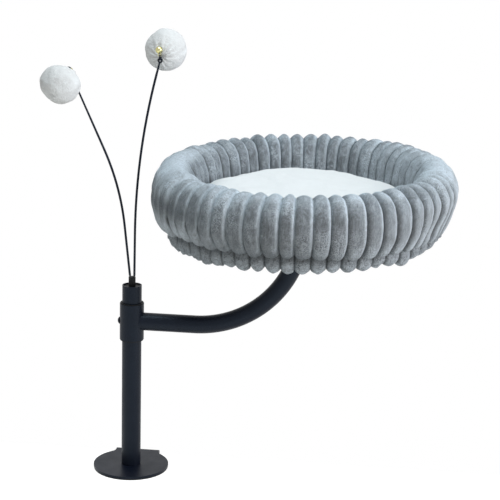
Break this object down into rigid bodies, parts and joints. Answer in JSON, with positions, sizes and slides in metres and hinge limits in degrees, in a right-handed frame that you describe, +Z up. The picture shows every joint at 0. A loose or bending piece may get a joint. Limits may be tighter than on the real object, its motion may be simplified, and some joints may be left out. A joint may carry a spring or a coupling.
{
  "type": "desk-mounted cat bed",
  "caption": "Round plush cat bed on a swivelling arm that slides on a desk-clamped post, with bell and ball toys on spring wires.",
  "frame": {"origin": "on the post's axis, where the rubber pad under the top plate rests on the desk", "axes": "+Z up along the post, +X along the arm towards the bed, +Y to the back, where the clamp grips the desk's edge"},
  "size_m": [0.5179, 0.3808, 0.6745],
  "materials": {
    "satin_black_steel": "satin powder coat",
    "zinc_plated_steel": "bright zinc plate",
    "black_plastic": "fine matt",
    "black_rubber": "matt",
    "brass": "polished",
    "plywood": "sanded plywood",
    "black_cloth": "non-woven cloth",
    "grey_plush": "short ribbed plush",
    "white_plush": "long soft plush"
  },
  "bodies": {
    "mast": {"top_plate": "satin_black_steel", "top_pad": "black_rubber", "lower_jaw": "satin_black_steel", "jaw_bolts": "zinc_plated_steel", "spindle_nut": "zinc_plated_steel", "post_tube": "satin_black_steel", "post_cap": "black_plastic", "toy_holder": "black_plastic"},
    "clamp_foot": {"pressure_pad": "black_rubber", "pressure_disc": "zinc_plated_steel", "thrust_washer": "black_plastic"},
    "clamp_spindle": {"clamp_screw": "zinc_plated_steel", "clamp_knob": "black_plastic"},
    "height_bush": {"collar_bush": "black_plastic"},
    "arm": {"collar": "satin_black_steel", "arm_tube": "satin_black_steel", "arm_flange": "satin_black_steel", "flange_bolts": "zinc_plated_steel", "board": "plywood", "tee_nuts": "zinc_plated_steel", "underside_cloth": "black_cloth", "bed_base": "grey_plush", "bolster": "grey_plush", "seat_pad": "white_plush"},
    "lock": {"lock_screw": "satin_black_steel"},
    "toy_left": {"wire_left": "satin_black_steel", "link_left": "satin_black_steel", "bell_left": "brass", "bell_pea_left": "zinc_plated_steel", "tie_left": "black_plastic", "pompom_left": "white_plush"},
    "toy_right": {"wire_right": "satin_black_steel", "link_right": "satin_black_steel", "bell_right": "brass", "bell_pea_right": "zinc_plated_steel", "tie_right": "black_plastic", "pompom_right": "white_plush"}
  },
  "joints": [
    {"name": "arm_height", "type": "slide", "parent": "mast", "child": "height_bush", "axis": [0, 0, 1], "range_m": [-0.125, 0.005]},
    {"name": "arm_swivel", "type": "hinge", "parent": "height_bush", "child": "arm", "pos_m": [0, 0, 0.2], "axis": [0, 0, 1], "continuous": true},
    {"name": "lock_screw_turn", "type": "hinge", "parent": "arm", "child": "lock", "pos_m": [-0.0155, 0, 0.2], "axis": [-1, 0, 0], "range_deg": [0, 360]},
    {"name": "clamp_travel", "type": "slide", "parent": "mast", "child": "clamp_foot", "axis": [0, 0, 1], "range_m": [-0.02, 0.015]},
    {"name": "clamp_screw_turn", "type": "hinge", "parent": "clamp_foot", "child": "clamp_spindle", "pos_m": [0, 0.014, -0.06], "axis": [0, 0, 1], "range_deg": [-4810, 3610]},
    {"name": "toy_left_sway", "type": "hinge", "parent": "mast", "child": "toy_left", "pos_m": [-0.0029, 0, 0.2608], "axis": [1, 0, 0], "range_deg": [-15, 15], "stiffness_Nm_per_rad": 2.5},
    {"name": "toy_right_sway", "type": "hinge", "parent": "mast", "child": "toy_right", "pos_m": [0.0029, 0, 0.2608], "axis": [1, 0, 0], "range_deg": [-15, 15], "stiffness_Nm_per_rad": 2.5}
  ],
  "couplings": [
    {"joint": "clamp_screw_turn", "follows": "clamp_travel", "rad_per_m": 4188.8}
  ]
}
